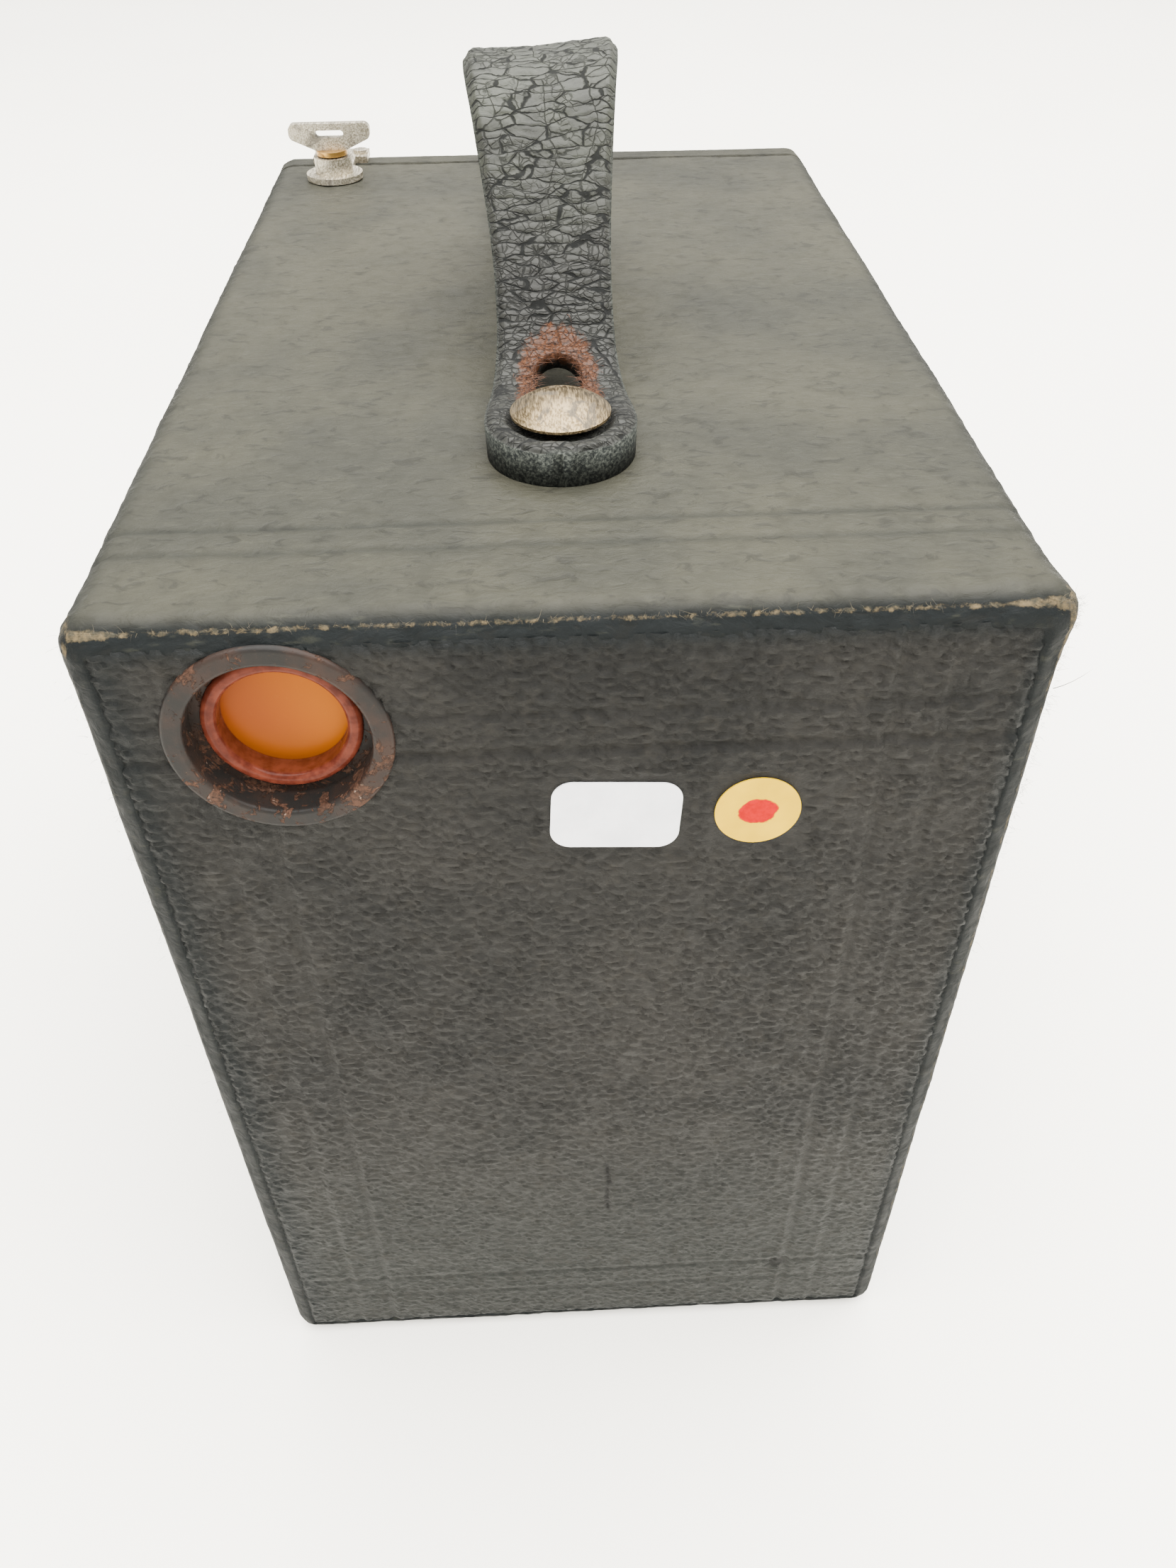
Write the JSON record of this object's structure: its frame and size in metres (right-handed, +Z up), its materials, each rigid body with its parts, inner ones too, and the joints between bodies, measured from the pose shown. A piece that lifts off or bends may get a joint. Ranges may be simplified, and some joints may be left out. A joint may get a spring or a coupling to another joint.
{
  "type": "box camera",
  "caption": "Leather-covered wooden roll-film box camera with carrying strap, winding key, amber back window, sliding works and a drop-in spool path.",
  "frame": {"origin": "centre of the base, on the surface the camera stands on", "axes": "+Z up; the lens looks along -Y and the amber window is in the +Y face; +X is on the left when the window faces the viewer"},
  "size_m": [0.0868, 0.1381, 0.1508],
  "materials": {
    "board_wood": "raw softwood, stained dark inside",
    "cover_leather": "black grained leather worn to olive grey",
    "panel_leather": "black pebble-grained leather",
    "strap_leather": "black leather with cracked surface",
    "ring_enamel": "black enamel, worn and rusty",
    "amber_glass": "polished amber red",
    "clear_glass": "polished",
    "mirror_glass": "silvered",
    "black_card": "matt black card",
    "nickel": "nickel plate, brushed by wear",
    "brass": "dull brass",
    "white_paper": "matt",
    "yellow_paper": "matt",
    "black_wood": "wood stained matt black",
    "black_steel": "matt black lacquer",
    "bright_steel": "plain steel",
    "spool_wood": "turned hardwood"
  },
  "bodies": {
    "case": {"top_board": "board_wood", "bottom_board": "board_wood", "left_board": "board_wood", "right_board": "board_wood", "back_board": "board_wood", "leather_wrap": "cover_leather", "back_leather": "panel_leather", "base_leather": "cover_leather", "window_ring": "ring_enamel", "window_glass": "amber_glass", "window_baffle": "black_card", "strap": "strap_leather", "strap_stud_rear": "nickel", "strap_stud_front": "nickel", "tripod_bush": "brass", "finder_window": "clear_glass", "finder_window_frame": "ring_enamel", "paper_label": "white_paper", "dot_sticker": "yellow_paper"},
    "works": {"front_board": "black_wood", "front_leather": "cover_leather", "lens_bezel": "ring_enamel", "finder_bezel": "ring_enamel", "works_top_plate": "black_wood", "works_bottom_plate": "black_wood", "slide_rails": "black_wood", "shutter_plate": "black_steel", "shutter_pivots": "bright_steel", "lens_standoffs": "black_wood", "lens_board": "black_wood", "lens": "clear_glass", "lens_ring": "brass", "cone_left": "black_card", "cone_right": "black_card", "cone_top": "black_card", "cone_bottom": "black_card", "film_gate": "black_wood", "finder_box": "black_card", "finder_mirror": "mirror_glass", "finder_lens": "clear_glass", "key_plate": "nickel", "key_bush": "nickel", "key_plate_screws": "nickel", "spool_pins": "bright_steel", "catch_springs": "nickel", "catch_screws": "nickel"},
    "key_drive": {"key_ratchet": "brass"},
    "winding_key": {"key_shaft": "brass", "key_bow": "nickel"},
    "take_up_spool": {"take_up_core": "spool_wood", "take_up_flanges": "bright_steel"},
    "supply_spool": {"supply_core": "spool_wood", "supply_flanges": "bright_steel"},
    "left_roller": {"roller_left": "bright_steel"},
    "right_roller": {"roller_right": "bright_steel"},
    "release": {"release_lever": "bright_steel"},
    "shutter": {"shutter_disc": "black_steel"},
    "stops": {"stop_slide": "black_steel"},
    "time_stop": {"time_slide": "black_steel"}
  },
  "joints": [
    {"name": "works_slide", "type": "slide", "parent": "case", "child": "works", "axis": [0, -1, 0], "range_m": [0, 0.125]},
    {"name": "key_turn", "type": "hinge", "parent": "works", "child": "key_drive", "pos_m": [0.0316, -0.0534, 0.1143], "axis": [0, 0, 1], "continuous": true},
    {"name": "key_lift", "type": "slide", "parent": "key_drive", "child": "winding_key", "axis": [0, 0, 1], "range_m": [0, 0.008]},
    {"name": "take_up_turn", "type": "hinge", "parent": "works", "child": "take_up_spool", "pos_m": [0.0316, -0.0534, 0.06], "axis": [0, 0, 1], "continuous": true},
    {"name": "supply_turn", "type": "hinge", "parent": "works", "child": "supply_spool", "pos_m": [-0.0316, -0.0534, 0.06], "axis": [0, 0, 1], "continuous": true},
    {"name": "left_roller_turn", "type": "hinge", "parent": "works", "child": "left_roller", "pos_m": [0.0354, 0.0572, 0.06], "axis": [0, 0, 1], "continuous": true},
    {"name": "right_roller_turn", "type": "hinge", "parent": "works", "child": "right_roller", "pos_m": [-0.0354, 0.0572, 0.06], "axis": [0, 0, 1], "continuous": true},
    {"name": "release_turn", "type": "hinge", "parent": "works", "child": "release", "pos_m": [0.017, -0.0607, 0.03], "axis": [0, 1, 0], "range_deg": [0, 24]},
    {"name": "shutter_turn", "type": "hinge", "parent": "works", "child": "shutter", "pos_m": [0, -0.059, 0.0475], "axis": [0, 1, 0], "range_deg": [0, 84]},
    {"name": "stop_lift", "type": "slide", "parent": "works", "child": "stops", "axis": [0, 0, 1], "range_m": [0, 0.022]},
    {"name": "time_lift", "type": "slide", "parent": "works", "child": "time_stop", "axis": [0, 0, 1], "range_m": [0, 0.005]}
  ],
  "couplings": [
    {"joint": "key_turn", "follows": "take_up_turn", "ratio": 1},
    {"joint": "shutter_turn", "follows": "release_turn", "ratio": 3.5}
  ]
}
